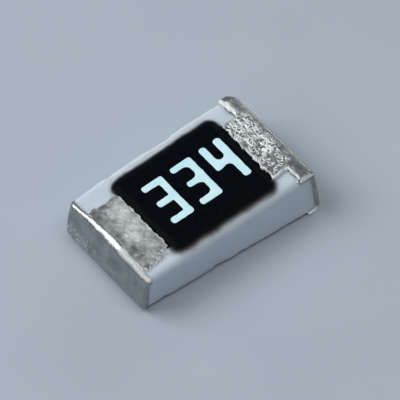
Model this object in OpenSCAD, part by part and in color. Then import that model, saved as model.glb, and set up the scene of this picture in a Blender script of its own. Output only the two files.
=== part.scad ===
// Thick-film chip resistor in the 0805 case, with its printed and plated layers.
// The origin is the middle of the soldering plane, X runs along the chip and Z is up.
// All sizes are in millimetres.

/* [Case] */
// Length over both end terminals
chip_length = 2.16; // [1.80:0.01:2.40]
// Width over the plated edges of the terminals
chip_width = 1.22; // [1.10:0.01:1.45]
// Height from the soldering plane to the top of the overcoat
chip_height = 0.55; // [0.40:0.01:0.65]

/* [Ceramic] */
// Bevel that the scribe lines leave along the edges of both faces
scribe_bevel = 0.02; // [0.010:0.005:0.040]

/* [Top terminals] */
// Left terminal, from the end of the chip to the overcoat
top_terminal_left = 0.46; // [0.34:0.01:0.55]
// Right terminal, from the end of the chip to the overcoat
top_terminal_right = 0.41; // [0.30:0.01:0.50]
// Reach of the left end metal onto the top face of the ceramic
wrap_left = 0.005; // [0.005:0.005:0.150]
// Reach of the right end metal onto the top face of the ceramic
wrap_right = 0.130; // [0.005:0.005:0.150]
// Thickness of the end metal where it lies over the pads
wrap_thickness = 0.005; // [0.003:0.001:0.010]

/* [End and bottom terminals] */
// Bottom terminals, from the end of the chip to their inner edge
bottom_terminal = 0.40; // [0.25:0.01:0.55]
// Reach of the end metal onto the underside of the ceramic
wrap_bottom = 0.10; // [0.05:0.01:0.15]
// Thickness of the end metal at its top edge
end_thickness = 0.012; // [0.008:0.001:0.030]
// Rise of the rounded end beyond its top edge
end_crown = 0.060; // [0.010:0.001:0.070]
// Drop of the crown's peak below the middle of the end
crown_drop = 0.08; // [0.00:0.01:0.10]
// Rounding of the end metal's top edge
top_rounding = 0.045; // [0.020:0.005:0.060]
// Rounding of the end metal's bottom edge
foot_rounding = 0.08; // [0.020:0.005:0.100]
// Rounding of the upright edges of the end metal
corner_rounding = 0.05; // [0.030:0.005:0.100]

/* [Plating] */
// Thickness of the nickel barrier
nickel_thickness = 0.007; // [0.004:0.001:0.012]
// Thickness of the tin over the nickel
tin_thickness = 0.010; // [0.005:0.001:0.015]

/* [Pads] */
// Thickness of the printed silver pads on both faces
pad_thickness = 0.012; // [0.008:0.001:0.020]
// Bare ceramic beside each top pad
pad_margin = 0.21; // [0.10:0.01:0.25]
// Length of each top pad that lies under the overcoat
pad_cover = 0.20; // [0.15:0.01:0.30]
// Bare ceramic beside each bottom pad
bottom_pad_margin = 0.06; // [0.03:0.01:0.20]

/* [Resistor] */
// Thickness of the resistive film
film_thickness = 0.012; // [0.008:0.001:0.020]
// Length of the film that lies on each pad
film_overlap = 0.07; // [0.04:0.01:0.10]
// Bare edge of the pad beside the film
film_inset = 0.03; // [0.01:0.01:0.10]
// Thickness of the glass over the film
glass_thickness = 0.010; // [0.006:0.001:0.015]
// Reach of the glass beyond the film
glass_margin = 0.03; // [0.01:0.01:0.05]

/* [Trim cut] */
// Width of the laser's cut
trim_width = 0.035; // [0.020:0.005:0.060]
// Place of the cut along the film, from its middle
trim_place = -0.12; // [-0.20:0.01:0.00]
// Depth of the cut across the film
trim_depth = 0.36; // [0.20:0.01:0.50]
// Length of the cut's second leg, along the film
trim_run = 0.24; // [0.10:0.01:0.35]

/* [Overcoat] */
// Bare ceramic beside the overcoat
coat_margin = 0.06; // [0.03:0.01:0.10]
// Least thickness of the overcoat over the layers below
coat_cover = 0.012; // [0.008:0.001:0.030]
// Thickness of the overcoat at its rim
coat_rim = 0.006; // [0.003:0.001:0.010]
// Width of the sloping border inside the rim
coat_slope = 0.09; // [0.04:0.01:0.10]
// Rounding of the overcoat's corners
coat_corner = 0.09; // [0.04:0.01:0.14]

/* [Hidden] */
$fn = 96;

// Both platings together
plate = nickel_thickness + tin_thickness;
// Rise of the overcoat and of the terminals above the top face of the ceramic
coat_stack = pad_thickness + film_thickness + glass_thickness + coat_cover;
terminal_stack = pad_thickness + wrap_thickness + plate;
// Levels of the ceramic's two faces, of the overcoat's top and of the end metal's top and bottom
z_under = terminal_stack;
z_face = chip_height - max(coat_stack, terminal_stack);
z_coat = z_face + coat_stack;
z_metal_top = z_face + pad_thickness + wrap_thickness;
z_metal_bottom = z_under - pad_thickness - wrap_thickness;
// Half sizes of the ceramic
x_end = chip_length / 2 - end_thickness - end_crown - plate;
y_side = chip_width / 2 - plate;
// Edges of the overcoat, and the middle of all the layers printed on the top face
coat_left = top_terminal_left - chip_length / 2;
coat_right = chip_length / 2 - top_terminal_right;
coat_half = y_side - coat_margin;
print_mid = (coat_left + coat_right) / 2;
// Half sizes of the printed layers, measured from that middle
pad_gap_half = (coat_right - coat_left) / 2 - pad_cover;
pad_half = y_side - pad_margin;
film_long_half = pad_gap_half + film_overlap;
film_half = pad_half - film_inset;
// Inner edge and half width of the bottom pads
bottom_inner = chip_length / 2 - bottom_terminal + plate;
bottom_pad_half = y_side - bottom_pad_margin;
// Circle of the crowned end: it meets the end metal's top edge and peaks at the crown
z_crown = (z_metal_top + z_metal_bottom) / 2 - crown_drop;
crown_rise = z_metal_top - z_crown;
crown_radius = (crown_rise ^ 2 + end_crown ^ 2) / (2 * end_crown);
x_crown = x_end + end_thickness + end_crown - crown_radius;
// Stretch that takes the crown's sector past its circle
sector_stretch = 2;
// Gap between the crown's peak and the end of the plan that rounds the upright edges
corner_gap = corner_rounding / 3;
// Excess by which a cutting or trimming shape passes the shape that it trims
excess = 0.05;

// Prism along Y, from an outline in X and Z
module along_y(width) {
    translate([0, width / 2, 0]) rotate([90, 0, 0]) linear_extrude(width) children();
}

// Prism along X, from an outline in Y and Z
module along_x(length) {
    translate([-length / 2, 0, 0]) rotate([90, 0, 90]) linear_extrude(length) children();
}

// Section of the ceramic, with a bevel at each corner
module bevelled_section(half) {
    polygon([
        [half, z_under + scribe_bevel], [half, z_face - scribe_bevel],
        [half - scribe_bevel, z_face], [scribe_bevel - half, z_face],
        [-half, z_face - scribe_bevel], [-half, z_under + scribe_bevel],
        [scribe_bevel - half, z_under], [half - scribe_bevel, z_under]
    ]);
}

module ceramic_body() {
    intersection() {
        along_y(chip_width) bevelled_section(x_end);
        along_x(chip_length) bevelled_section(y_side);
    }
}

// Puts a shape that is drawn at the right end at the end named by side, -1 or 1
module at_end(side) {
    if (side > 0) children();
    else mirror([1, 0, 0]) children();
}

// Values that differ between the two ends, measured towards the end from the chip's middle
function coat_edge(side) = side > 0 ? coat_right : -coat_left;
function wrap_top(side) = side > 0 ? wrap_right : wrap_left;

// Section of a pad that runs out over the bevel, on a face at level 0
module pad_section(inner) {
    polygon([
        [inner, 0], [inner, pad_thickness], [x_end - scribe_bevel, pad_thickness],
        [x_end, pad_thickness - scribe_bevel], [x_end, -scribe_bevel], [x_end - scribe_bevel, 0]
    ]);
}

module top_pad(side) {
    translate([0, 0, z_face])
        at_end(side)
            along_y(2 * pad_half)
                pad_section(coat_edge(side) - pad_cover);
}

module bottom_pad(side) {
    translate([0, 0, z_under])
        mirror([0, 0, 1])
            at_end(side)
                along_y(2 * bottom_pad_half)
                    pad_section(bottom_inner);
}

// Distance along X from the crown's middle to that of a circle which touches the crown from inside
function inner_reach(level, radius) = sqrt((crown_radius - radius) ^ 2 - (level - z_crown) ^ 2);

// Crowned outline of the right half in X and Z, grown by the plating on it
module crowned_outline(grow) {
    top_level = z_metal_top - top_rounding;
    foot_level = z_metal_bottom + foot_rounding;
    top_reach = inner_reach(top_level, top_rounding);
    foot_reach = inner_reach(foot_level, foot_rounding);
    translate([x_crown + top_reach, top_level]) circle(top_rounding + grow);
    translate([x_crown + foot_reach, foot_level]) circle(foot_rounding + grow);
    polygon([
        [0, z_metal_bottom - grow], [x_crown + foot_reach, z_metal_bottom - grow],
        [x_crown + foot_reach, foot_level], [x_crown + top_reach, top_level],
        [x_crown + top_reach, z_metal_top + grow], [0, z_metal_top + grow]
    ]);
    translate([x_crown, z_crown])
        intersection() {
            circle(crown_radius + grow);
            polygon([
                [0, 0],
                sector_stretch * [foot_reach, foot_level - z_crown],
                sector_stretch * [top_reach, top_level - z_crown]
            ]);
        }
}

// The part of the crowned outline that an end cap takes: its end, and its reach onto both faces.
// The ceramic's long side stays bare inside it, apart from the growth over the side's edges.
module cap_outline(side, grow) {
    z_low = z_under + scribe_bevel + grow;
    z_high = z_face - scribe_bevel - grow;
    difference() {
        intersection() {
            crowned_outline(grow);
            union() {
                translate([x_end - wrap_top(side) - grow, 0]) square([chip_length, chip_height]);
                translate([x_end - wrap_bottom - grow, 0]) square([chip_length, z_crown]);
            }
        }
        translate([0, z_low]) square([x_end - grow, z_high - z_low]);
    }
}

// Plan of the right half with its upright edges rounded
module cap_plan(grow) {
    half = y_side + grow;
    round = corner_rounding + grow;
    x_out = x_end + end_thickness + end_crown + corner_gap + grow;
    translate([0, -half]) square([x_out - round, 2 * half]);
    translate([0, round - half]) square([x_out, 2 * (half - round)]);
    for (s = [-1, 1]) translate([x_out - round, s * (half - round)]) circle(round);
}

// Outside of an end cap, grown by the plating on it
module end_cap(side, grow) {
    at_end(side)
        intersection() {
            along_y(chip_width + 2 * excess) cap_outline(side, grow);
            translate([0, 0, -excess]) linear_extrude(chip_height + 2 * excess) cap_plan(grow);
        }
}

// Outside of the bare part of a top pad, grown by the plating on it
module plated_tab(side, grow) {
    at_end(side)
        along_y(2 * (pad_half + grow))
            intersection() {
                crowned_outline(grow);
                translate([coat_edge(side), z_face - scribe_bevel])
                    square([x_end - coat_edge(side), scribe_bevel + pad_thickness + grow]);
            }
}

// Outside of the bare part of a bottom pad, grown by the plating on it
module plated_foot(side, grow) {
    at_end(side)
        along_y(2 * (bottom_pad_half + grow))
            intersection() {
                crowned_outline(grow);
                translate([bottom_inner - grow, z_under - pad_thickness - grow])
                    square([x_end - bottom_inner + grow, pad_thickness + grow + scribe_bevel]);
            }
}

// Outside of a whole terminal with a plating of a given thickness
module plated_terminal(side, grow) {
    end_cap(side, grow);
    plated_tab(side, grow);
    plated_foot(side, grow);
}

// Everything that a terminal's plating lies on or ends at
module plating_base(side) {
    end_cap(side, 0);
    ceramic_body();
    top_pad(side);
    bottom_pad(side);
    coat_body();
}

// A layer printed over the gap between the top pads, following their step, from the ceramic up
module printed_layer(long_half, half, top) {
    step_out = pad_gap_half - top;
    step_in = step_out - pad_thickness;
    translate([print_mid, 0, z_face])
        along_y(2 * half)
            polygon([
                [long_half, 0], [long_half, pad_thickness + top],
                [step_out, pad_thickness + top], [step_in, top],
                [-step_in, top], [-step_out, pad_thickness + top],
                [-long_half, pad_thickness + top], [-long_half, 0]
            ]);
}

module both_top_pads() {
    for (side = [-1, 1]) top_pad(side);
}

// L-shaped cut of the trimming laser, in from the long side and then along the film
module trim_cut() {
    entry = coat_half + excess;
    translate([print_mid + trim_place - trim_width / 2, 0, z_face - excess])
        linear_extrude(coat_stack + 2 * excess) {
            translate([0, -entry]) square([trim_width, entry - film_half + trim_depth]);
            translate([0, trim_depth - film_half - trim_width]) square([trim_run, trim_width]);
        }
}

// Space that the film and the glass take up, with the cut left open
module film_body() {
    difference() {
        printed_layer(film_long_half, film_half, film_thickness);
        both_top_pads();
        trim_cut();
    }
}

module glass_body() {
    difference() {
        printed_layer(
            film_long_half + glass_margin, film_half + glass_margin, film_thickness + glass_thickness);
        printed_layer(film_long_half, film_half, film_thickness);
        both_top_pads();
        trim_cut();
    }
}

// Plan of the overcoat with rounded corners
module coat_plan() {
    long = coat_right - coat_left;
    translate([coat_left + coat_corner, -coat_half]) square([long - 2 * coat_corner, 2 * coat_half]);
    translate([coat_left, coat_corner - coat_half]) square([long, 2 * (coat_half - coat_corner)]);
    for (x = [coat_left + coat_corner, coat_right - coat_corner], s = [-1, 1])
        translate([x, s * (coat_half - coat_corner)]) circle(coat_corner);
}

// Outside of the overcoat, which slopes down to a thin rim all round
module coat_body() {
    end_rim = z_face + pad_thickness + coat_rim;
    side_rim = z_face + coat_rim;
    intersection() {
        along_y(chip_width)
            polygon([
                [coat_left, z_face], [coat_left, end_rim], [coat_left + coat_slope, z_coat],
                [coat_right - coat_slope, z_coat], [coat_right, end_rim], [coat_right, z_face]
            ]);
        along_x(chip_length)
            polygon([
                [coat_half, z_face], [coat_half, side_rim], [coat_half - coat_slope, z_coat],
                [coat_slope - coat_half, z_coat], [-coat_half, side_rim], [-coat_half, z_face]
            ]);
        translate([0, 0, z_face]) linear_extrude(coat_stack) coat_plan();
    }
}

module alumina_substrate() {
    color("whitesmoke") ceramic_body();
}

module printed_top_pad(side) {
    color("silver") top_pad(side);
}

module printed_bottom_pad(side) {
    color("silver") bottom_pad(side);
}

module resistive_film() {
    color("dimgray") film_body();
}

module glass_undercoat() {
    color("darkolivegreen") glass_body();
}

module epoxy_overcoat() {
    color("black") difference() {
        coat_body();
        both_top_pads();
        film_body();
        glass_body();
    }
}

module end_metal(side) {
    color("lightgray") difference() {
        end_cap(side, 0);
        ceramic_body();
        top_pad(side);
        bottom_pad(side);
    }
}

module nickel_barrier(side) {
    color("darkgray") difference() {
        plated_terminal(side, nickel_thickness);
        plating_base(side);
    }
}

module tin_plating(side) {
    color("gainsboro") difference() {
        plated_terminal(side, plate);
        plated_terminal(side, nickel_thickness);
        plating_base(side);
    }
}

alumina_substrate();
printed_bottom_pad(-1);  // bottom_pad_left
printed_bottom_pad(1);  // bottom_pad_right
printed_top_pad(-1);  // top_pad_left
printed_top_pad(1);  // top_pad_right
resistive_film();
glass_undercoat();
epoxy_overcoat();
end_metal(-1);  // end_metal_left
end_metal(1);  // end_metal_right
nickel_barrier(-1);  // nickel_barrier_left
nickel_barrier(1);  // nickel_barrier_right
tin_plating(-1);  // tin_plating_left
tin_plating(1);  // tin_plating_right
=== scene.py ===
"""Looks of a thick-film chip resistor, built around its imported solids.

Shapes are worked out in millimetres, in the frame of the solids, and turned into metres as meshes are made.
X runs along the chip, from the first digit's end to the last digit's, and Z points out of the marked face.
"""
import itertools
import math

import bpy
import numpy as np
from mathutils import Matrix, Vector


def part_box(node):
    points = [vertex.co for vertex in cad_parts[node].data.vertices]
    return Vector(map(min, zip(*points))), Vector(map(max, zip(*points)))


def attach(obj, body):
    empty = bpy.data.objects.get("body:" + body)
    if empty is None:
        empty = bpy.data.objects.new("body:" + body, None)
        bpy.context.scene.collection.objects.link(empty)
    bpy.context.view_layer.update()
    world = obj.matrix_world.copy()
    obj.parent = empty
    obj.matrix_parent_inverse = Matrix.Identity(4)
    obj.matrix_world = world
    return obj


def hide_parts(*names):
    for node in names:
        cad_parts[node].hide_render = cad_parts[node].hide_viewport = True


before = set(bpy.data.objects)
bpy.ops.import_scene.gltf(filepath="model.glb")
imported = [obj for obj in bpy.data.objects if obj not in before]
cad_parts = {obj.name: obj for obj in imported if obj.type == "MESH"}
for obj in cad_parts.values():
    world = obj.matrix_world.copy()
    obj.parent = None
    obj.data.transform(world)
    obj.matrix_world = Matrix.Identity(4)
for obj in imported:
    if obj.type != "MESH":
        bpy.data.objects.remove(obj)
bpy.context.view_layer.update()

MM = 0.001


def node_corners(node):
    """Lowest and highest corner of a node's solid, in millimetres."""
    low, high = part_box(node)
    return np.array(low) / MM, np.array(high) / MM


# Sizes from the frame, in millimetres
CERAMIC_LOW, CERAMIC_HIGH = node_corners("alumina_substrate")
COAT_LOW, COAT_HIGH = node_corners("epoxy_overcoat")
PAD_HIGH = node_corners("top_pad_right")[1]
TIN_LOW, TIN_HIGH = node_corners("tin_plating_right")
CERAMIC_HALF = (CERAMIC_HIGH - CERAMIC_LOW) / 2
CERAMIC_MID = (CERAMIC_HIGH + CERAMIC_LOW) / 2
FACE = CERAMIC_HIGH[2]
UNDERSIDE = CERAMIC_LOW[2]
CHIP_TOP = COAT_HIGH[2]
PAD_RISE = PAD_HIGH[2] - FACE

# Terminals, in millimetres: values by side are for the left end, -1, and the right end, 1
PLATE = TIN_HIGH[1] - CERAMIC_HIGH[1]
TAB_TOP = PAD_HIGH[2] + PLATE
BAND_TOP = TIN_HIGH[2]
TAB_HALF = PAD_HIGH[1] + PLATE
TAB_SHIFT = -0.014
COAT_EDGE = {-1: -COAT_LOW[0], 1: COAT_HIGH[0]}
TAB_LAP = {-1: 0.028, 1: 0.008}
WRAP = {-1: 0.013, 1: 0.146}
END_TURN = {-1: 0.0, 1: 0.018}
TOP_ROUNDING = {-1: 0.062, 1: 0.036}
FAR_CORNER = {-1: 0.055, 1: 0.068}
NEAR_CORNER = 0.035
FOOT_ROUNDING = 0.097
CROWN_LEVEL = 0.189
CROWN_PEAK = {-1: TIN_HIGH[0], 1: TIN_HIGH[0] - 0.050}
TOP_EDGE = TIN_HIGH[0] - 0.065
CROWN_RADIUS = {
    side: ((BAND_TOP - CROWN_LEVEL) ** 2 + (peak - TOP_EDGE) ** 2) / (2 * (peak - TOP_EDGE))
    for side, peak in CROWN_PEAK.items()
}
UNDER_WRAP = 0.117
UNDER_HALF = {-1: 0.53, 1: 0.72}
SIDE_EDGE = {-1: 0.975, 1: 0.957}
SIDE_FULL = {-1: 1.020, 1: 1.003}
SIDE_DROP = {-1: 0.018, 1: 0.006}
TAB_RAMP = {-1: (0.93, 0.05), 1: (0.875, 0.08)}
UNDERLAP = {-1: -0.05, 1: 0.012}
SUNK = {-1: 0.006, 1: 0.0}
FOOT_HALF = 0.550
FOOT_LEVEL = 0.005

# Ceramic, in millimetres
FAR_EDGE_ROUNDING = 0.014
NEAR_EDGE_ROUNDING = 0.080
END_EDGE_ROUNDING = 0.015
BOTTOM_EDGE_ROUNDING = 0.025
LEFT_REACH = 0.018
LEAN_MIDDLE = 0.026
LEAN_TURN = 0.060
FAR_LEAN = 0.030
FAR_LEAN_END = 0.980
FAR_LEAN_FADE = 0.060

# Room round a shape for its surface to be found in, and the room that its lean needs, in millimetres
MARGIN = 0.025
NEAR_ROOM = np.array([0.0, LEAN_MIDDLE + LEAN_TURN * CERAMIC_HIGH[0], 0.0])
FAR_ROOM = np.array([0.0, FAR_LEAN, 0.0])

# A distance beyond all of the chip, in millimetres
FAR_AWAY = 9.0


# Repeatable noise and soft steps: noise is given as (width, seed, height) and a step as (start, width)

def lattice(ix, iy, iz, seed):
    """Random numbers from 0 to 1 at whole-number points, the same on every run; large factors mix them."""
    h = (ix * 374761393 + iy * 668265263 + iz * 1440662683 + seed * 974634777) & 0xFFFFFFFF
    h = ((h ^ (h >> 13)) * 1274126177) & 0xFFFFFFFF
    return ((h ^ (h >> 16)) & 0xFFFFFF) / float(0xFFFFFF)


def noise(x, y, z, size, seed):
    """Smooth noise from -1 to 1 whose bumps are about as wide as size."""
    cells = [np.floor(c / size).astype(np.int64) for c in (x, y, z)]
    parts = [c / size - i for c, i in zip((x, y, z), cells)]
    ease = [f * f * f * (f * (f * 6 - 15) + 10) for f in parts]
    total = 0
    for step in itertools.product((0, 1), repeat=3):
        weight = 1
        for s, e in zip(step, ease):
            weight = weight * (e if s else 1 - e)
        total = total + weight * lattice(*(i + s for i, s in zip(cells, step)), seed)
    return total * 2 - 1


def cell_edges(x, y, size, seed):
    """How much farther the second nearest of scattered middles is than the nearest: 0 where cells meet."""
    cx, cy = np.floor(x / size).astype(np.int64), np.floor(y / size).astype(np.int64)
    nearest = np.full(np.shape(x), FAR_AWAY)
    second = nearest.copy()
    for dx, dy in itertools.product((-1, 0, 1), repeat=2):
        px = (cx + dx + lattice(cx + dx, cy + dy, 0, seed)) * size
        py = (cy + dy + lattice(cx + dx, cy + dy, 7, seed)) * size
        d = np.hypot(x - px, y - py)
        second = np.minimum(second, np.maximum(nearest, d))
        nearest = np.minimum(nearest, d)
    return second - nearest


def bumps(kind, x, y, z=None):
    """Noise of a kind, which is the width of its bumps, its seed and its height."""
    width, seed, height = kind
    return noise(x, y, np.zeros_like(x) if z is None else z, width, seed) * height


def smooth_step(t):
    """0 up to 0, 1 from 1, and an even bend between."""
    t = np.clip(t, 0, 1)
    return t * t * (3 - 2 * t)


def rise(value, start, width):
    """0 below start, 1 from a width above it."""
    return smooth_step((value - start) / width)


def fall(value, start, width):
    """0 above start, 1 from a width below it."""
    return smooth_step((start - value) / width)


# Distances to shapes, below zero inside

def round_meet(a, b, radius):
    """The overlap of two shapes, with the edge between them rounded."""
    corner = np.hypot(np.maximum(a + radius, 0), np.maximum(b + radius, 0))
    return np.minimum(-radius, np.maximum(a, b)) + corner


def soft_join(a, b, width):
    """Two shapes together, with a fillet where they meet."""
    h = np.maximum(width - np.abs(a - b), 0) / width
    return np.minimum(a, b) - h * h * width / 4


def round_rectangle(x, y, half_x, half_y, radius):
    """Distance to a rectangle about the origin with round corners."""
    qx, qy = np.abs(x) - half_x + radius, np.abs(y) - half_y + radius
    return np.hypot(np.maximum(qx, 0), np.maximum(qy, 0)) + np.minimum(np.maximum(qx, qy), 0) - radius


def lean(x, y, z):
    """How far the long sides stand out, for the block broke askew: the near side's foot is in at the left and
    out at the right, and the far side hangs out at the top, between the terminals' ends."""
    depth = np.clip((FACE - z) / (FACE - UNDERSIDE), 0, 1)
    near = (LEAN_MIDDLE + LEAN_TURN * x) * depth
    far = FAR_LEAN * (1 - depth) * fall(np.abs(x), FAR_LEAN_END, FAR_LEAN_FADE)
    return np.where(y < 0, near, far)


def ceramic_distance(x, y, z):
    """Distance to the ceramic block before its roughness."""
    px, py, pz = (np.abs(c - m) - h for c, m, h in zip((x, y, z), CERAMIC_MID, CERAMIC_HALF))
    px = px - np.where(x < 0, LEFT_REACH, 0)
    top_edge = np.where(y < 0, NEAR_EDGE_ROUNDING, FAR_EDGE_ROUNDING)
    long_edge = np.where(z < CERAMIC_MID[2], BOTTOM_EDGE_ROUNDING, top_edge)
    return round_meet(round_meet(py - lean(x, y, z), pz, long_edge), px, END_EDGE_ROUNDING)


# Meshes

def make_piece(name, points, faces, material, node):
    """A smooth mesh piece that rides on the chip, has a finish slot and stands for a node if one is given."""
    mesh = bpy.data.meshes.new(name)
    mesh.from_pydata((np.asarray(points) * MM).tolist(), [], np.asarray(faces).tolist())
    mesh.polygons.foreach_set("use_smooth", np.ones(len(mesh.polygons), bool))
    mesh.materials.append(material)
    piece = bpy.data.objects.new(name, mesh)
    bpy.context.scene.collection.objects.link(piece)
    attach(piece, "root")
    if node:
        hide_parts(node)
    return piece


def paint(piece, name, values):
    """Stores a number at each point, for the material to read."""
    attribute = piece.data.attributes.new(name, "FLOAT", "POINT")
    attribute.data.foreach_set("value", np.asarray(values, np.float32))


def skin_of(distance, low, high, step):
    """Points and faces of the surface where a distance is zero, with a point in each grid cell it crosses."""
    axes = [np.arange(a, b + step, step) for a, b in zip(low, high)]
    grid = np.meshgrid(*axes, indexing="ij")
    field = distance(*grid)
    inside = field < 0
    size = [n - 1 for n in field.shape]
    corners = list(itertools.product((0, 1), repeat=3))
    corner_slices = [tuple(slice(o, o + n) for o, n in zip(c, size)) for c in corners]
    count = sum(inside[s].astype(np.int8) for s in corner_slices)
    active = np.nonzero((count > 0) & (count < 8))
    number = np.full(size, -1, np.int64)
    number[active] = np.arange(len(active[0]))
    values = {c: field[tuple(a + o for a, o in zip(active, c))] for c in corners}
    total, hits = np.zeros((len(active[0]), 3)), np.zeros(len(active[0]))
    for a, b in itertools.combinations(corners, 2):
        if sum(abs(i - j) for i, j in zip(a, b)) != 1:
            continue
        crossed = (values[a] < 0) != (values[b] < 0)
        t = np.where(crossed, values[a] / np.where(crossed, values[a] - values[b], 1), 0)[:, None]
        total += np.where(crossed[:, None], np.array(a) + t * (np.array(b) - np.array(a)), 0)
        hits += crossed
    points = np.array(low) + step * (np.stack(active, 1) + total / hits[:, None])
    faces = []
    for axis in range(3):
        here = [slice(1, -1)] * 3
        there = [slice(1, -1)] * 3
        here[axis], there[axis] = slice(0, -1), slice(1, None)
        first, second = inside[tuple(here)], inside[tuple(there)]
        u, v = (axis + 1) % 3, (axis + 2) % 3
        for flip, mask in ((False, first & ~second), (True, ~first & second)):
            at = np.stack(np.nonzero(mask), 1)
            at[:, u] += 1
            at[:, v] += 1
            ring = []
            for du, dv in ((-1, -1), (0, -1), (0, 0), (-1, 0)):
                cell = at.copy()
                cell[:, u] += du
                cell[:, v] += dv
                ring.append(number[tuple(cell.T)])
            quad = np.stack(ring, 1)
            faces.append(quad[:, ::-1] if flip else quad)
    return points, np.concatenate(faces)


def sheet_of(xs, ys, top, bottom, keep):
    """Points and faces of a closed sheet over a grid, between two heights, in cells with a kept corner."""
    x, y = np.meshgrid(xs, ys, indexing="ij")
    shape = x.shape
    index = np.arange(x.size).reshape(shape)
    upper = np.stack([x, y, top], -1).reshape(-1, 3)
    lower = np.stack([x, y, bottom], -1).reshape(-1, 3)
    cell = keep[:-1, :-1] | keep[1:, :-1] | keep[1:, 1:] | keep[:-1, 1:]
    quads = np.stack([index[:-1, :-1], index[1:, :-1], index[1:, 1:], index[:-1, 1:]], -1)[cell]
    edges = np.concatenate([quads[:, [k, (k + 1) % 4]] for k in range(4)])
    keys = edges[:, 0] * x.size + edges[:, 1]
    border = edges[~np.isin(keys, edges[:, 1] * x.size + edges[:, 0])]
    rim = np.stack([border[:, 0], border[:, 0] + x.size, border[:, 1] + x.size, border[:, 1]], 1)
    faces = np.concatenate([quads, quads[:, ::-1] + x.size, rim])
    used, faces = np.unique(faces, return_inverse=True)
    return np.concatenate([upper, lower])[used], faces.reshape(-1, 4)


# Materials

class Nodes:
    """A material's node tree, with short calls for the nodes used here."""

    def __init__(self, name):
        self.material = bpy.data.materials.new(name)
        self.material.use_nodes = True
        self.tree = self.material.node_tree
        self.shader = self.tree.nodes["Principled BSDF"]
        self.place = self.tree.nodes.new("ShaderNodeTexCoord").outputs["Object"]

    def link(self, source, target):
        self.tree.links.new(source, target)

    def set(self, **values):
        for name, value in values.items():
            self.shader.inputs[name.replace("_", " ")].default_value = value

    def grain(self, size, detail):
        """Noise from 0 to 1 with bumps about as wide as size, in millimetres."""
        mapping = self.tree.nodes.new("ShaderNodeMapping")
        mapping.inputs["Scale"].default_value = [1 / (size * MM)] * 3
        self.link(self.place, mapping.inputs["Vector"])
        node = self.tree.nodes.new("ShaderNodeTexNoise")
        node.inputs["Scale"].default_value = 1.0
        node.inputs["Detail"].default_value = detail
        self.link(mapping.outputs["Vector"], node.inputs["Vector"])
        return node.outputs["Fac"]

    def painted(self, name):
        """A number that was stored at each point of the mesh."""
        node = self.tree.nodes.new("ShaderNodeAttribute")
        node.attribute_name = name
        return node.outputs["Fac"]

    def ramp(self, value, *stops):
        """Colours at places from 0 to 1, each stop a (place, colour) pair."""
        node = self.tree.nodes.new("ShaderNodeValToRGB")
        elements = node.color_ramp.elements
        while len(elements) < len(stops):
            elements.new(0.5)
        for element, (place, colour) in zip(elements, stops):
            element.position = place
            element.color = (*colour, 1)
        self.link(value, node.inputs["Fac"])
        return node.outputs["Color"]

    def shades(self, value, dark, light, low=0.3, high=0.7):
        """Two colours, reached where the noise is low and where it is high."""
        return self.ramp(value, (low, dark), (high, light))

    def span(self, value, low, high):
        """Stretches 0.25 to 0.75, where most noise lies, to low and high."""
        node = self.tree.nodes.new("ShaderNodeMapRange")
        for name, number in (("From Min", 0.25), ("From Max", 0.75), ("To Min", low), ("To Max", high)):
            node.inputs[name].default_value = number
        self.link(value, node.inputs["Value"])
        return node.outputs["Result"]

    def add_share(self, value, other, share):
        """A value plus a share of another, kept from 0 to 1."""
        node = self.tree.nodes.new("ShaderNodeMath")
        node.operation = "MULTIPLY_ADD"
        node.use_clamp = True
        self.link(other, node.inputs[0])
        node.inputs[1].default_value = share
        self.link(value, node.inputs[2])
        return node.outputs["Value"]

    def mix(self, amount, first, second):
        node = self.tree.nodes.new("ShaderNodeMix")
        node.data_type = "RGBA"
        self.link(amount, node.inputs["Factor"])
        self.link(first, node.inputs["A"])
        self.link(second, node.inputs["B"])
        return node.outputs["Result"]

    def bump(self, height, depth, strength):
        """Relief of a given depth in millimetres."""
        node = self.tree.nodes.new("ShaderNodeBump")
        node.inputs["Distance"].default_value = depth * MM
        node.inputs["Strength"].default_value = strength
        self.link(height, node.inputs["Height"])
        self.link(node.outputs["Normal"], self.shader.inputs["Normal"])


def ceramic_material():
    """White ceramic that lets some light in, with soft clouds and fine specks."""
    n = Nodes("white_alumina")
    cloud = n.grain(size=0.30, detail=3)
    speck = n.grain(size=0.018, detail=4)
    clouded = n.shades(cloud, dark=(0.53, 0.61, 0.69), light=(0.605, 0.685, 0.755), low=0.25, high=0.75)
    specked = n.shades(speck, dark=(0.45, 0.52, 0.61), light=(0.615, 0.675, 0.73))
    n.link(n.mix(n.span(speck, low=0.0, high=0.60), clouded, specked), n.shader.inputs["Base Color"])
    n.link(n.span(speck, low=0.55, high=0.75), n.shader.inputs["Roughness"])
    n.set(Subsurface_Weight=1.0, Subsurface_Scale=0.12 * MM, Specular_IOR_Level=0.35)
    n.shader.inputs["Subsurface Radius"].default_value = (1.0, 0.95, 0.9)
    n.bump(speck, depth=0.003, strength=0.5)
    return n.material


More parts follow.
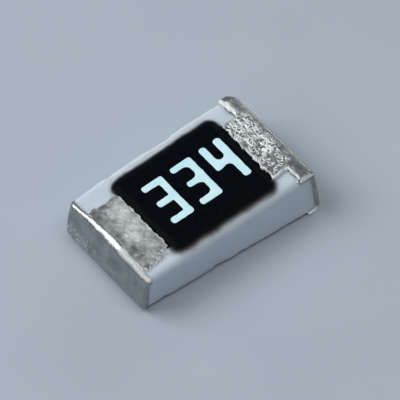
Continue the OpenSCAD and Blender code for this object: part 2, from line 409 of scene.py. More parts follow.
def tin_material():
    """Blotched grey tin, pale and rough where it is frosted or painted pale as a highlight, and hardly a
    metal where it is dull.
    """
    n = Nodes("matte_tin")
    blot = n.grain(size=0.16, detail=4)
    grain = n.grain(size=0.022, detail=4)
    # This attribute holds real frost together with pale paint that stands in for highlights and glints on
    # rims, beads, ridges and specks.
    frost_and_highlight = n.painted("frost_and_highlight")
    dull = n.painted("dull")
    grey = n.shades(blot, dark=(0.255, 0.275, 0.275), light=(0.360, 0.385, 0.382))
    pale = n.shades(grain, dark=(0.81, 0.85, 0.85), light=(0.94, 0.97, 0.965))
    matt = n.shades(grain, dark=(0.445, 0.46, 0.45), light=(0.605, 0.62, 0.605))
    n.link(n.mix(dull, n.mix(frost_and_highlight, grey, pale), matt), n.shader.inputs["Base Color"])
    rough = n.add_share(n.span(grain, low=0.26, high=0.38), frost_and_highlight, share=0.38)
    n.link(n.add_share(rough, dull, share=0.30), n.shader.inputs["Roughness"])
    shine = n.tree.nodes.new("ShaderNodeMapRange")
    shine.inputs["To Min"].default_value = 1.0
    shine.inputs["To Max"].default_value = 0.15
    n.link(frost_and_highlight, shine.inputs["Value"])
    n.link(n.add_share(shine.outputs["Result"], dull, share=-0.75), n.shader.inputs["Metallic"])
    n.bump(grain, depth=0.002, strength=0.6)
    return n.material


def coat_material():
    """Black epoxy, which goes from the ceramic's white to black as it gets thicker."""
    n = Nodes("black_overcoat")
    peel = n.grain(size=0.05, detail=3)
    cover = n.painted("cover")
    deep = n.shades(peel, dark=(0.0010, 0.0017, 0.0030), light=(0.0020, 0.0030, 0.0050))
    thin = n.ramp(
        cover,
        (0.0, (0.51, 0.57, 0.63)),
        (0.2, (0.335, 0.36, 0.385)),
        (0.37, (0.170, 0.172, 0.178)),
        (0.53, (0.059, 0.058, 0.058)),
        (0.7, (0.019, 0.018, 0.018)),
        (0.87, (0.006, 0.006, 0.006)),
        (1.0, (0.0018, 0.0024, 0.0040)))
    n.link(n.mix(cover, thin, deep), n.shader.inputs["Base Color"])
    n.link(n.span(peel, low=0.42, high=0.58), n.shader.inputs["Roughness"])
    n.set(Specular_IOR_Level=0.03)
    n.bump(peel, depth=0.0015, strength=0.5)
    return n.material


def ink_material():
    """Pale, slightly blotched ink."""
    n = Nodes("pale_ink")
    blot = n.grain(size=0.11, detail=4)
    speck = n.grain(size=0.014, detail=3)
    blotted = n.shades(blot, dark=(0.48, 0.82, 0.91), light=(0.70, 0.90, 0.965))
    specked = n.shades(speck, dark=(0.48, 0.79, 0.885), light=(0.74, 0.92, 0.965))
    n.link(n.mix(n.span(speck, low=0.1, high=0.5), blotted, specked), n.shader.inputs["Base Color"])
    n.link(n.span(speck, low=0.5, high=0.7), n.shader.inputs["Roughness"])
    n.bump(speck, depth=0.002, strength=0.6)
    return n.material


def inner_material(name, dark, light, size, metallic, roughness):
    """A sealed-in layer: blotched colour, grain and roughness at one scale."""
    spread = 0.1
    n = Nodes(name)
    grain = n.grain(size, detail=4)
    n.link(n.shades(grain, dark, light), n.shader.inputs["Base Color"])
    n.link(n.span(grain, roughness - spread, roughness + spread), n.shader.inputs["Roughness"])
    n.set(Metallic=metallic)
    n.bump(grain, depth=0.002, strength=0.6)
    return n.material


# Roughness of the ceramic, in millimetres
ROUGH_REACH = 0.03
SNAPPED_SIDE = (-0.05, 0.03)
CHIPPED_EDGE = (-0.06, 0.04)
COATED_EDGE = (FACE - 0.03, 0.05)
WAVE = (0.22, 11, 0.0040)
HACKLE = (0.030, 12, 0.0016)
HACKLE_STRETCH = 0.25
PITS = (0.035, 13, 1.0)
PIT_LEVEL = 0.35
PIT_DEPTH = 0.007
CHIPS = (0.09, 14, 1.0)
CHIP_LEVEL = 0.1
CHIP_DEPTH = 0.014
GRAIN = (0.026, 15, 0.0006)
CERAMIC_STEP = 0.0115


def make_ceramic(material):
    """The ceramic block: pressed faces, and rough sides where it was snapped along the scribe lines."""
    def distance(x, y, z):
        d = ceramic_distance(x, y, z)
        near = np.abs(d) < ROUGH_REACH
        px, py, pz = x[near], y[near], z[near]
        side = rise(np.abs(py) - CERAMIC_HALF[1], *SNAPPED_SIDE)
        edge = side * rise(np.abs(pz - CERAMIC_MID[2]) - CERAMIC_HALF[2], *CHIPPED_EDGE)
        coated = (py < 0) & (pz > CERAMIC_MID[2])
        edge = np.where(coated, 0, edge)
        side = side * np.where(coated, fall(pz, *COATED_EDGE), 1)
        pits = np.maximum(bumps(PITS, px, py, pz) - PIT_LEVEL, 0) * PIT_DEPTH
        chips = np.maximum(bumps(CHIPS, px, py, pz) - CHIP_LEVEL, 0) * CHIP_DEPTH
        rough = bumps(WAVE, px, py, pz) + bumps(HACKLE, px, py, pz * HACKLE_STRETCH) + pits
        d[near] += side * rough + edge * chips + bumps(GRAIN, px, py, pz)
        return d

    low, high = CERAMIC_LOW - MARGIN - NEAR_ROOM, CERAMIC_HIGH + MARGIN + FAR_ROOM
    points, faces = skin_of(distance, low, high, CERAMIC_STEP)
    make_piece("ceramic_block", points, faces, material, "alumina_substrate")


def face_level(y):
    """Level of the ceramic's top, which drops over its rounded long edges."""
    rounding = np.where(y < 0, NEAR_EDGE_ROUNDING, FAR_EDGE_ROUNDING)
    past = np.clip(np.abs(y) - CERAMIC_HIGH[1] + rounding, 0, rounding)
    return FACE - rounding + np.sqrt(rounding ** 2 - past ** 2)


# Overcoat, in millimetres: it has a lip over the pads at its ends, and it sinks away outside its outline
COAT_CORNER = 0.13
COAT_FEATHER = 0.12
COAT_SPREAD = 0.025
COAT_THINNING = {"near": 0.090, "far": 0.062}
COAT_WANDER = (0.14, 21, 0.008)
COAT_RAGGED = (0.04, 22, 0.003)
COAT_PEEL = (0.07, 23, 0.0008)
COAT_SAG = (0.30, 24, 0.0015)
PEEL_EDGE = 0.05
BLACK_AT_TAB = (TAB_HALF, 0.04)
LIP_ACROSS = (TAB_HALF + 0.05, 0.04)
LIP_ALONG = (-0.14, 0.07)
LIP_EDGE = 0.012
LIP_OVER_PAD = 0.006
DOME_DROP = 0.002
DOME_TO_LIP = 4
OUTSIDE_SLOPE = -0.25
COAT_STEP = 0.0095
COAT_ROOT = 0.012
COAT_KEEP = 0.004


def coat_height(x, y):
    """Height of the overcoat's skin above the ceramic's face, how far a point is outside its outline, and how
    thickly it covers, from 0 to 1: it thins out along the long sides and stays black at the terminals."""
    mid = (COAT_LOW + COAT_HIGH) / 2
    half = (COAT_HIGH - COAT_LOW) / 2 + COAT_SPREAD
    wander = bumps(COAT_WANDER, x, y) + bumps(COAT_RAGGED, x, y)
    edge = round_rectangle(x - mid[0], y - mid[1], half[0], half[1], COAT_CORNER) + wander
    from_tab = np.abs(y - TAB_SHIFT)
    thinning = edge + (np.abs(y - mid[1]) - half[1] - edge) * fall(from_tab, *BLACK_AT_TAB)
    end = rise(np.abs(x - mid[0]) - half[0], *LIP_ALONG) * fall(from_tab, *LIP_ACROSS)
    lip = end * smooth_step(-edge / LIP_EDGE) * (PAD_RISE + LIP_OVER_PAD)
    dome = (CHIP_TOP - FACE - DOME_DROP) * smooth_step(-edge / COAT_FEATHER)
    peel = bumps(COAT_PEEL, x, y) + bumps(COAT_SAG, x, y)
    height = (dome ** DOME_TO_LIP + lip ** DOME_TO_LIP) ** (1 / DOME_TO_LIP)
    height = height + peel * smooth_step(-edge / PEEL_EDGE)
    width = np.where(y < 0, COAT_THINNING["near"], COAT_THINNING["far"])
    return np.where(edge < 0, height, OUTSIDE_SLOPE * edge), edge, np.clip(-thinning / width, 0, 1)


def make_coat(material):
    """The black overcoat, domed at its edges and thin enough there for the ceramic to show through."""
    room = MARGIN + COAT_SPREAD
    xs = np.arange(COAT_LOW[0] - room, COAT_HIGH[0] + room, COAT_STEP)
    ys = np.arange(COAT_LOW[1] - room, COAT_HIGH[1] + room, COAT_STEP)
    x, y = np.meshgrid(xs, ys, indexing="ij")
    height, edge, _ = coat_height(x, y)
    face = face_level(y)
    points, faces = sheet_of(xs, ys, face + height, face - COAT_ROOT, edge < COAT_KEEP)
    piece = make_piece("overcoat", points, faces, material, "epoxy_overcoat")
    paint(piece, "cover", coat_height(points[:, 0], points[:, 1])[2])


# Form of a terminal's metal, in millimetres: coarse and fine noise by side
RAGGED = {-1: ((0.060, 161, 0.010), (0.022, 162, 0.006)), 1: ((0.060, 131, 0.010), (0.022, 132, 0.006))}
WAVES = {-1: ((0.07, 61, 0.0025), (0.024, 62, 0.0014)), 1: ((0.07, 31, 0.0025), (0.024, 32, 0.0014))}
WAVE_REACH = 0.02
BESIDE_TAB = (-0.10, 0.22)
BARE_BELOW = (FACE - 0.03, 0.03)
BARE_FADE = 0.03
BARE_SINK = 0.006
BARE_ABOVE_FOOT = (0.024, 0.012)
ON_TAB = (TAB_HALF - 0.03, 0.05)
STRIP = (-0.022, 0.012)
STRIP_FAR = (0.02, 0.45)
STRIP_NEAR = (-0.08, 0.15)
STRIP_THINNING = {"far": 0.55, "near": 0.45}
SIDE_RAGGED = 0.6
WRAP_DEPTH = 0.03
METAL_EDGE = 0.010


def band_level(side, y):
    """Level of the end metal's top across the chip, lower beside the pad that it laps onto."""
    return BAND_TOP - SIDE_DROP[side] * rise(np.abs(y - TAB_SHIFT) - TAB_HALF, *BESIDE_TAB)


def ragged_edge(side, u, y):
    """How far the border of a terminal's metal wanders."""
    coarse, fine = RAGGED[side]
    return bumps(coarse, u, y) + bumps(fine, u, y)


def metal_waves(side, x, y, z):
    """Unevenness of the plated metal, inwards."""
    coarse, fine = WAVES[side]
    return bumps(coarse, x, y, z) + bumps(fine, x, y, z)


def plan_distance(side, turned, y):
    """Distance in plan to the top of a terminal's end."""
    corner = np.where(y < 0, NEAR_CORNER, FAR_CORNER[side])
    return round_meet(turned - TOP_EDGE, np.abs(y) - TIN_HIGH[1], corner)


def strip_rounding(side, y):
    """Rounding of the end's top edge, which is finer towards the left end's corners."""
    thin = 0
    if side < 0:
        thin = STRIP_THINNING["far"] * rise(y, *STRIP_FAR) + STRIP_THINNING["near"] * fall(y, *STRIP_NEAR)
    return TOP_ROUNDING[side] * (1 - thin)


def cap_distance(side):
    """Distance to one terminal's plated end and underside, for the end on the given side of X."""
    def distance(x, y, z):
        u = x * side + END_TURN[side] * y
        crown = np.hypot(u - CROWN_PEAK[side] + CROWN_RADIUS[side], z - CROWN_LEVEL) - CROWN_RADIUS[side]
        corner = np.where(y < 0, NEAR_CORNER, FAR_CORNER[side])
        bare = fall(u, SIDE_FULL[side], BARE_FADE) * fall(z, *BARE_BELOW)
        if side > 0:
            bare = bare * rise(z, *BARE_ABOVE_FOOT)
        across = np.abs(y) - TIN_HIGH[1] - lean(x, y, z) + (PLATE + BARE_SINK) * bare
        outer = round_meet(round_meet(crown, TIN_LOW[2] - z, FOOT_ROUNDING), across, corner)
        on_tab = fall(np.abs(y - TAB_SHIFT), *ON_TAB)
        rounding = strip_rounding(side, y)
        strip = rise(plan_distance(side, u, y) + rounding, *STRIP)
        outer = round_meet(outer, z - band_level(side, y) + SUNK[side] * on_tab * (1 - strip), rounding)
        ragged = ragged_edge(side, u, y + z)
        end = SIDE_EDGE[side] + SIDE_RAGGED * ragged - u
        inner = CERAMIC_HIGH[0] - WRAP[side] + UNDERLAP[side] * on_tab
        band = np.maximum(inner + ragged_edge(side, u, y) - u, FACE - WRAP_DEPTH - z)
        low = z - UNDERSIDE - WRAP_DEPTH
        under = np.maximum(CERAMIC_HIGH[0] - UNDER_WRAP + ragged - u, low)
        under = np.maximum(under, np.abs(y) - UNDER_HALF[side])
        foot = np.maximum(TIN_LOW[0] + ragged - u, np.abs(y) - FOOT_HALF + ragged)
        foot = np.maximum(np.maximum(foot, FOOT_LEVEL - z), low)
        region = np.minimum(np.minimum(end, band), np.minimum(under, foot))
        metal = round_meet(outer, region, METAL_EDGE)
        near = np.abs(metal) < WAVE_REACH
        metal[near] += metal_waves(side, x[near], y[near], z[near])
        return metal

    return distance


# Frost, painted highlights and dullness of the ends: pale specks low on the left end painted as glints, and
# pale rims and a ledge at the right end painted as highlights
CAP_FROST = 0.03
CAP_CLOUD = (0.11, 181, 0.10)
CAP_MOTTLE = (0.035, 182, 0.07)
CAP_TOP = (0.490, 0.02)
SPECK = (0.019, 183, 1.0)
SPECK_LEVEL = (0.50, 0.12)
SPECK_ACROSS = (-0.05, 0.4)
SPECK_BELOW = (0.36, 0.1)
SPECK_GLINT = 0.7
BAND_GRAIN = (0.020, 184, 0.10)
BAND_NEAR = (-0.1, 0.2)
BAND_NEAR_FROST = 0.06
RIM_INNER = (CERAMIC_HIGH[0] - WRAP[1] + 0.028, 0.012)
RIM_NEAR = (0.590, 0.012)
RIM_FAR = (0.53, 0.02)
RIM_HIGHLIGHT = 0.9
LEDGE_NEAR = (0.655, 0.01)
LEDGE_BELOW = (0.075, 0.01)
LEDGE_HIGHLIGHT = 0.95
DULL = 0.9
DULL_BLOTCH = (0.05, 191, 0.35)
DULL_GRAIN = (0.02, 192, 0.2)
DULL_TOP = (0.496, 0.012)
DULL_NEAR = (-0.10, 0.08)


def cap_frost_and_highlights(side, points):
    """How frosted the end and the underside are at each point, with painted glints and painted highlights
    added as pale frost.
    """
    x, y, z = points.T
    frost_and_highlight = CAP_FROST + bumps(CAP_CLOUD, x, y, z) + bumps(CAP_MOTTLE, x, y, z)
    top = rise(z, *CAP_TOP)
    if side < 0:
        # Painted glints: pale specks low on the left end stand in for sparkles of light.
        corner = rise(y, *SPECK_ACROSS) * fall(z, *SPECK_BELOW)
        speck = rise(bumps(SPECK, x, y, z), *SPECK_LEVEL) * corner
        frost_and_highlight = frost_and_highlight + SPECK_GLINT * speck * (1 - top)
    else:
        # Painted highlights: the right end's near and far top rims and the ledge low on its near side are
        # painted pale, as bright lines.
        rim = np.maximum(rise(-y, *RIM_NEAR), rise(y, *RIM_FAR) * fall(x, *RIM_INNER))
        frost_and_highlight = frost_and_highlight + top * (BAND_NEAR_FROST * fall(y, *BAND_NEAR) + bumps(BAND_GRAIN, x, y, z))
        frost_and_highlight = frost_and_highlight + (RIM_HIGHLIGHT - frost_and_highlight) * top * rim
        ledge_highlight = rise(-y, *LEDGE_NEAR) * fall(z, *LEDGE_BELOW)
        frost_and_highlight = frost_and_highlight + (LEDGE_HIGHLIGHT - frost_and_highlight) * ledge_highlight
    return np.clip(frost_and_highlight, 0, 1)


def cap_dullness(side, points):
    """How dull the end is at each point: the near half of the left end's top edge."""
    x, y, z = points.T
    if side > 0:
        return np.zeros_like(x)
    blotch = DULL + bumps(DULL_BLOTCH, x, y, z) + bumps(DULL_GRAIN, x, y, z)
    return np.clip(rise(z, *DULL_TOP) * fall(y, *DULL_NEAR) * blotch, 0, 1)


# Ridges on the right terminal's top, which run on over its band more faintly
RIDGE_WARP_U = (0.040, 141, 0.018)
RIDGE_WARP_Y = (0.040, 142, 0.018)
RIDGE_CELL = 0.034
RIDGE_SEED = 143
RIDGE_WIDTH = 0.0095
RIDGES_ALONG = (0.955, 0.06)
RIDGES_ACROSS = (0.40, 0.08)
RIDGES_END = (0.985, 0.03)
RIDGES_NEAR = (-0.12, 0.14)
FAINT_ALONG = 0.40
FAINT_ACROSS = 0.35
PATCH = 0.80
PATCH_BROAD = (0.10, 145, 0.4)
PATCH_FINE = (0.030, 144, 0.7)
PATCH_NEAR_LOSS = 0.55
PATCH_LEAST = 0.08


def right_grain(u, y):
    """The right terminal's crystal ridges: their height from 0 to 1."""
    warp_u = u + bumps(RIDGE_WARP_U, u, y)
    warp_y = y + bumps(RIDGE_WARP_Y, u, y)
    net = np.exp(-(cell_edges(warp_u, warp_y, RIDGE_CELL, RIDGE_SEED) / RIDGE_WIDTH) ** 2)
    along = FAINT_ALONG + (1 - FAINT_ALONG) * fall(u, *RIDGES_ALONG)
    across = FAINT_ACROSS + (1 - FAINT_ACROSS) * fall(np.abs(y), *RIDGES_ACROSS)
    field = along * across * fall(u, *RIDGES_END)
    patch = PATCH + bumps(PATCH_BROAD, u, y) + bumps(PATCH_FINE, u, y)
    patch = patch - PATCH_NEAR_LOSS * fall(y, *RIDGES_NEAR)
    return net * field * np.clip(patch, PATCH_LEAST, 1)


# Frost on the left terminal's top
FROST = 0.20
FROST_INNER = 0.23
FROST_NEAR_LOSS = 0.08
FROST_END = 0.93
FROST_END_FADE = 0.13
FROST_SIDE_FADE = 0.12
FROST_NEAR = (-0.16, 0.12)
FROST_END_WANDER = (0.16, 171, 0.06)
FROST_SIDE_WANDER = (0.09, 172, 0.05)
FROST_CLUSTER = (0.10, 173, 0.14)
FROST_SPECK = (0.040, 174, 0.13)


def left_frost(u, y):
    """The left terminal's frost, soft clusters that thin out towards the end and the sides."""
    from_side = TAB_HALF - np.abs(y - TAB_SHIFT) + bumps(FROST_SIDE_WANDER, u, y)
    inner = fall(u, FROST_END + bumps(FROST_END_WANDER, u, y), FROST_END_FADE)
    inner = inner * smooth_step(from_side / FROST_SIDE_FADE)
    cluster = bumps(FROST_CLUSTER, u, y) + bumps(FROST_SPECK, u, y)
    return np.clip(FROST + FROST_INNER * inner + cluster - FROST_NEAR_LOSS * fall(y, *FROST_NEAR), 0, 1)


# Top of the terminals, in millimetres: slopes by side, and the thin metal that spread beside the left tab
INWARD_RAGGED = 1.2
SIDEWAYS_RAGGED = 0.8
SIDE_BLEND = 0.1
SPILL = 0.006
SPILL_NOISE = (0.050, 175, 1.0)
SPILL_SPREAD = 0.020
SPILL_LEAST = -0.2
SMEAR = 0.056
SMEAR_GROWTH = 0.080
SMEAR_ALONG = (0.60, 0.34)
SMEAR_NOISE = (0.050, 176, 0.014)
BAND_SLOPE = 0.009
INNER_SLOPE = {-1: 0.015, 1: 0.009}
NEAR_SLOPE = {-1: 0.100, 1: 0.009}
FAR_SLOPE = 0.014
BEADING = 0.85
BEADING_NOISE = (0.045, 146, 0.5)
BEADING_RANGE = (0.3, 1.4)
BESIDE_FADE = 0.02
BEAD_DEPTH = 0.012
BEAD_FAR_DEPTH = 0.013
BEAD_WIDTH = 1.1
WALL_DEPTH = 1.6
WALL_FADE = 0.006
RIDGE_RELIEF = 0.008
BEAD_RELIEF = {-1: 0.006, 1: 0.012}
RIGHT_FROST = 0.03
RIGHT_MOTTLE = (0.05, 147, 0.08)
LEFT_BEAD = 0.3
LEFT_BEAD_WIDTH = 0.010
LEFT_BEAD_SIDE = 0.02
FROST_RELIEF = 0.006
FROST_MIDDLE = 0.4
DULL_SMEAR = (-0.095, 0.060)
LUMPS = (0.018, 148, 0.0006)
SEAM = (-0.008, 0.005)
SEAM_SINK = 0.004
SHEET_RISE = 0.0012
SHEET_ROOT = 0.012
SHEET_BOTTOM = 0.02
SHEET_STEP = 0.0040
SHEET_LAP = 0.04
SHEET_KEEP = 0.006
STRIP_KEEP = 0.001
CAP_STEP = 0.0075
CAP_CLEARANCE = 0.0003


def ground_level(side, y):
    """Level of the ceramic that a terminal's top lies on: at the left it follows the rounded long edges."""
    return np.full_like(y, FACE) if side > 0 else face_level(y)


def cover(distance, width):
    """1 inside an outline by more than a width, 0 at it and outside."""
    return 1 - smooth_step((distance + width) / width)


def tab_surface(side, u, y):
    """Level of a terminal's plated top, how far a point is outside its ragged outline, how frosted it is,
    with highlights painted on its ridges and beads as pale frost, and how dull it is."""
    across = y - TAB_SHIFT
    turned = u + END_TURN[side] * y
    ragged = ragged_edge(side, u, y)
    band = CERAMIC_HIGH[0] - WRAP[side] + ragged - turned
    inward = COAT_EDGE[side] - TAB_LAP[side] + INWARD_RAGGED * ragged - u
    sideways = np.abs(across) - TAB_HALF + SIDEWAYS_RAGGED * ragged
    far = smooth_step(across / SIDE_BLEND)
    if side < 0:
        spill = SPILL + SPILL_SPREAD * np.maximum(bumps(SPILL_NOISE, u, y), SPILL_LEAST)
        smear = SMEAR + SMEAR_GROWTH * rise(u, *SMEAR_ALONG) + bumps(SMEAR_NOISE, u, y)
        sideways = sideways - spill * far - smear * smooth_step(-across / SIDE_BLEND)
    outline = np.minimum(band, np.maximum(inward, sideways))
    side_slope = np.where(across < 0, NEAR_SLOPE[side], FAR_SLOPE)
    tab_covered = cover(inward, INNER_SLOPE[side]) * cover(sideways, side_slope)
    covered = np.maximum(cover(band, BAND_SLOPE), tab_covered)
    beading = np.clip(BEADING + bumps(BEADING_NOISE, u, y), *BEADING_RANGE)
    if side > 0:
        # Painted highlights: the ridge crests, the beads and the walls along the outline are painted pale so
        # that they stay bright under any lamp; the ridges and beads are also real relief.
        crest = right_grain(u, y)
        beside = smooth_step(sideways / BESIDE_FADE)
        depth = BEAD_DEPTH + beside * BEAD_FAR_DEPTH * far
        beaded = 1 - far * (1 - beside)
        bead = np.exp(-((outline + depth) / (BEAD_WIDTH * depth)) ** 2) * beading * beaded
        wall_highlight = smooth_step((outline + WALL_DEPTH * depth) / WALL_FADE) * np.clip(beading, 0, 1) * beaded
        relief = RIDGE_RELIEF * crest + BEAD_RELIEF[side] * bead
        frost_and_highlight = RIGHT_FROST + bumps(RIGHT_MOTTLE, u, y) + np.maximum(crest, np.maximum(bead, wall_highlight))
        dull = np.zeros_like(u)
    else:
        frost_and_highlight = left_frost(u, y)
        # Painted highlight: a faint pale line on the bead along the inward edge, which is also real relief.
        bead = LEFT_BEAD * np.exp(-((inward + LEFT_BEAD_WIDTH) / LEFT_BEAD_WIDTH) ** 2) * beading
        bead = bead * cover(sideways, LEFT_BEAD_SIDE)
        relief = FROST_RELIEF * (frost_and_highlight - FROST_MIDDLE) + BEAD_RELIEF[side] * bead
        frost_and_highlight = frost_and_highlight + bead
        dull = rise(sideways, *DULL_SMEAR) * (across < 0)
    ramp_end, ramp_length = TAB_RAMP[side]
    level = band_level(side, y) + (TAB_TOP - BAND_TOP) * fall(u, ramp_end, ramp_length)
    lumps = bumps(LUMPS, u, y) - metal_waves(side, u * side, y, level)
    seam = rise(plan_distance(side, turned, y) + strip_rounding(side, y), *SEAM)
    top = level + SHEET_RISE + relief + lumps - SEAM_SINK * seam
    base = ground_level(side, y) - SHEET_ROOT
    return base + (top - base) * covered, outline, np.clip(frost_and_highlight, 0, 1), dull


def make_tin(side, material):
    """The tin of one terminal: the crowned end with the underside, and the grainy top in finer detail."""
    name = "right" if side > 0 else "left"
    low, high = node_corners("tin_plating_" + name)
    low, high = low - MARGIN - NEAR_ROOM, high + MARGIN + FAR_ROOM
    cap_points, cap_faces = skin_of(cap_distance(side), low, high, CAP_STEP)
    cap_points[:, 2] = np.maximum(cap_points[:, 2], TIN_LOW[2] + CAP_CLEARANCE)
    us = np.arange(COAT_EDGE[side] - SHEET_LAP, TOP_EDGE, SHEET_STEP)
    ys = np.arange(-TIN_HIGH[1], TIN_HIGH[1], SHEET_STEP)
    u, y = np.meshgrid(us, ys, indexing="ij")
    top, outline, _, _ = tab_surface(side, u, y)
    rounding = plan_distance(side, u + END_TURN[side] * y, y) + strip_rounding(side, y)
    keep = (outline < SHEET_KEEP) & (rounding < STRIP_KEEP)
    points, faces = sheet_of(us, ys, top, ground_level(side, y) - SHEET_BOTTOM, keep)
    _, _, frost_and_highlight, dull = tab_surface(side, points[:, 0], points[:, 1])
    points[:, 0] *= side
    if side < 0:
        faces = faces[:, ::-1]
    both_points = np.concatenate([cap_points, points])
    both_faces = np.concatenate([cap_faces, faces + len(cap_points)])
    piece = make_piece("tin_" + name, both_points, both_faces, material, "tin_plating_" + name)
    # Stores the frost together with the painted highlights and painted glints.
    paint(piece, "frost_and_highlight", np.concatenate([cap_frost_and_highlights(side, cap_points), frost_and_highlight]))
    paint(piece, "dull", np.concatenate([cap_dullness(side, cap_points), dull]))


# Metal under the tin, in millimetres
LAP_START = 0.015
LAP_INSET = 0.025
INNER_STEP = 0.016


def make_inner_metal(side, title, node, inset, material):
    """A metal layer under one terminal's tin: the same form set in from it, with its lap over the top pad."""
    name = "right" if side > 0 else "left"
    low, high = node_corners("tin_plating_" + name)
    low, high = low - MARGIN - NEAR_ROOM, high + MARGIN + FAR_ROOM
    cap = cap_distance(side)

    def distance(x, y, z):
        u = x * side
        along = np.maximum(COAT_EDGE[side] + LAP_START - u, u - CERAMIC_HIGH[0])
        across = np.abs(y - TAB_SHIFT) - TAB_HALF + LAP_INSET
        upright = np.maximum(FACE - WRAP_DEPTH - z, z - TAB_TOP)
        return np.minimum(cap(x, y, z), np.maximum(along, np.maximum(across, upright))) + inset

    points, faces = skin_of(distance, low, high, INNER_STEP)
    make_piece(f"{title}_{name}", points, faces, material, f"{node}_{name}")


# Digits as strokes: left, right, bottom and top of each, then how round its ends and its joins are
DIGITS = {
    "ink_first_3": ([(-0.410, -0.165, 0.214, 0.286), (-0.400, -0.170, -0.012, 0.063),
                     (-0.412, -0.155, -0.241, -0.165), (-0.234, -0.159, -0.241, 0.286)], 0.030, 0.020),
    "ink_second_3": ([(-0.058, 0.191, 0.220, 0.290), (-0.030, 0.180, -0.004, 0.064),
                      (-0.058, 0.196, -0.243, -0.166), (0.120, 0.193, -0.243, 0.290)], 0.030, 0.070),
    "ink_4": ([(0.298, 0.377, -0.010, 0.290), (0.298, 0.540, -0.010, 0.068),
               (0.471, 0.556, -0.237, 0.290)], 0.032, 0.060),
}

# Film of ink, in millimetres
INK_RISE = 0.0030
INK_EDGE = (0.004, 0.014)
INK_RAGGED = (0.04, 41, 0.002)
INK_RELIEF = (0.02, 42, 0.0004)
INK_SINK = 0.0008
INK_ROOT = 0.004
INK_KEEP = 0.006
INK_STEP = 0.0045
INK_MARGIN = 0.02


def stroke_distance(x, y, stroke, end_round):
    """Distance to one stroke of a digit."""
    left, right, bottom, top = stroke
    mid_x, mid_y = (left + right) / 2, (bottom + top) / 2
    return round_rectangle(x - mid_x, y - mid_y, (right - left) / 2, (top - bottom) / 2, end_round)


def make_digit(name, strokes, end_round, join_round, material):
    """One printed digit, a thin film of ink that follows the overcoat."""
    lefts, rights, bottoms, tops = zip(*strokes)
    whole = (min(lefts), max(rights), min(bottoms), max(tops))
    xs = np.arange(whole[0] - INK_MARGIN, whole[1] + INK_MARGIN, INK_STEP)
    ys = np.arange(whole[2] - INK_MARGIN, whole[3] + INK_MARGIN, INK_STEP)
    x, y = np.meshgrid(xs, ys, indexing="ij")
    shape = np.full_like(x, FAR_AWAY)
    for stroke in strokes:
        shape = soft_join(shape, stroke_distance(x, y, stroke, end_round), join_round)
    shape = np.maximum(shape, stroke_distance(x, y, whole, end_round)) + bumps(INK_RAGGED, x, y)
    coat = FACE + coat_height(x, y)[0]
    top = coat + (INK_RISE + bumps(INK_RELIEF, x, y)) * fall(shape, *INK_EDGE) - INK_SINK
    points, faces = sheet_of(xs, ys, top, coat - INK_ROOT, shape < INK_KEEP)
    make_piece(name, points, faces, material, None)


# Pieces

make_ceramic(ceramic_material())
make_coat(coat_material())
tin = tin_material()
nickel = inner_material(
    "nickel_plate", dark=(0.52, 0.49, 0.44), light=(0.68, 0.65, 0.60),
    size=0.02, metallic=1.0, roughness=0.35)
end_silver = inner_material(
    "dipped_silver", dark=(0.66, 0.65, 0.62), light=(0.82, 0.81, 0.79),
    size=0.03, metallic=1.0, roughness=0.50)
for end in (-1, 1):
    make_tin(end, tin)
    make_inner_metal(end, "nickel", "nickel_barrier", inset=0.010, material=nickel)
    make_inner_metal(end, "dipped_silver", "end_metal", inset=0.017, material=end_silver)
ink = ink_material()
for digit, (strokes, end_round, join_round) in DIGITS.items():
    make_digit(digit, strokes, end_round, join_round, ink)

# Layers sealed inside keep their solids, with finishes of their own
silver = inner_material(
    "fired_silver", dark=(0.70, 0.68, 0.63), light=(0.86, 0.85, 0.82),
    size=0.02, metallic=1.0, roughness=0.45)
paste = inner_material(
    "ruthenium_paste", dark=(0.02, 0.02, 0.025), light=(0.06, 0.06, 0.065),
    size=0.03, metallic=0.0, roughness=0.60)
glass = inner_material(
    "undercoat_glass", dark=(0.10, 0.15, 0.10), light=(0.18, 0.25, 0.17),
    size=0.06, metallic=0.0, roughness=0.25)
finishes = {"top_pad": silver, "bottom_pad": silver, "resistive_film": paste, "glass_undercoat": glass}
for node_name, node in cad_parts.items():
    for start, material in finishes.items():
        if node_name.startswith(start):
            node.data.materials.clear()
            node.data.materials.append(material)


# Floor, light and camera

def make_floor():
    """A plain pale table under the chip, with a faint mottle."""
    n = Nodes("pale_table")
    mottle = n.shades(n.grain(size=1.5, detail=2), dark=(0.40, 0.455, 0.525), light=(0.42, 0.475, 0.545))
    n.link(mottle, n.shader.inputs["Base Color"])
    n.set(Roughness=0.7, Specular_IOR_Level=0.2)
    reach = 0.5
    corners = [(-reach, -reach, 0), (reach, -reach, 0), (reach, reach, 0), (-reach, reach, 0)]
    mesh = bpy.data.meshes.new("table")
    mesh.from_pydata(corners, [], [(0, 1, 2, 3)])
    mesh.materials.append(n.material)
    table = bpy.data.objects.new("table", mesh)
    bpy.context.scene.collection.objects.link(table)


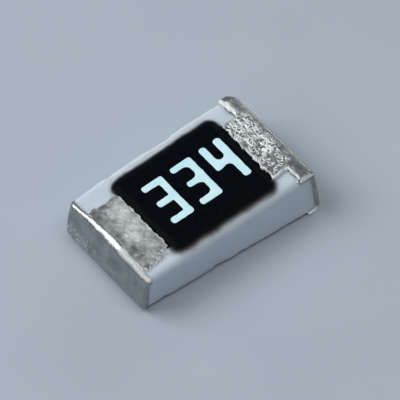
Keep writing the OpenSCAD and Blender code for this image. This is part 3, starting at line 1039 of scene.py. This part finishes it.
def make_lamp(name, azimuth, elevation, distance, size, level):
    """A square soft lamp in a direction from the chip, in degrees and millimetres, as bright as level."""
    a, e = math.radians(azimuth), math.radians(elevation)
    away = Vector((math.sin(a) * math.cos(e), math.cos(a) * math.cos(e), math.sin(e)))
    lamp = bpy.data.lights.new(name, "AREA")
    lamp.size = size * MM
    lamp.energy = level * math.pi * lamp.size ** 2
    thing = bpy.data.objects.new(name, lamp)
    thing.location = away * distance * MM
    thing.rotation_mode = "QUATERNION"
    thing.rotation_quaternion = (-away).to_track_quat("-Z", "Y")
    bpy.context.scene.collection.objects.link(thing)


def make_camera():
    """A long lens at the photograph's angle, so that edges stay nearly parallel."""
    azimuth, elevation = math.radians(-39.0), math.radians(55.0)
    round_x, round_y = math.sin(azimuth), -math.cos(azimuth)
    pixels, pixels_per_mm = 400, 104.0
    chip_at = (192.1, 202.3)
    lens, sensor = 1500.0, 36.0
    back = Vector((round_x * math.cos(elevation), round_y * math.cos(elevation), math.sin(elevation)))
    turn = (-back).to_track_quat("-Z", "Y")
    right, up = turn @ Vector((1, 0, 0)), turn @ Vector((0, 1, 0))
    middle = Vector((0, 0, CHIP_TOP / 2 * MM))
    offset = [(pixels / 2 - c) / pixels_per_mm * MM for c in chip_at]
    aim = middle + right * offset[0] - up * offset[1]
    data = bpy.data.cameras.new("camera")
    data.lens, data.sensor_width = lens, sensor
    distance = lens / sensor * pixels / pixels_per_mm * MM
    data.clip_start, data.clip_end = distance * 0.1, distance * 10
    camera = bpy.data.objects.new("camera", data)
    camera.location = aim + back * distance
    camera.rotation_mode = "QUATERNION"
    camera.rotation_quaternion = turn
    bpy.context.scene.collection.objects.link(camera)
    bpy.context.scene.camera = camera


def make_world(colour, strength):
    """Even light from all round."""
    world = bpy.data.worlds.new("studio")
    world.use_nodes = True
    background = world.node_tree.nodes["Background"]
    background.inputs["Color"].default_value = (*colour, 1)
    background.inputs["Strength"].default_value = strength
    bpy.context.scene.world = world


make_floor()
make_world(colour=(0.92, 0.96, 1.0), strength=0.20)
make_lamp("key", azimuth=-46, elevation=48, distance=60, size=40, level=5.2)
make_lamp("rim", azimuth=62, elevation=22, distance=70, size=24, level=2.5)
make_lamp("front", azimuth=160, elevation=74, distance=70, size=40, level=2.7)
make_camera()
bpy.context.scene.view_settings.view_transform = "Standard"
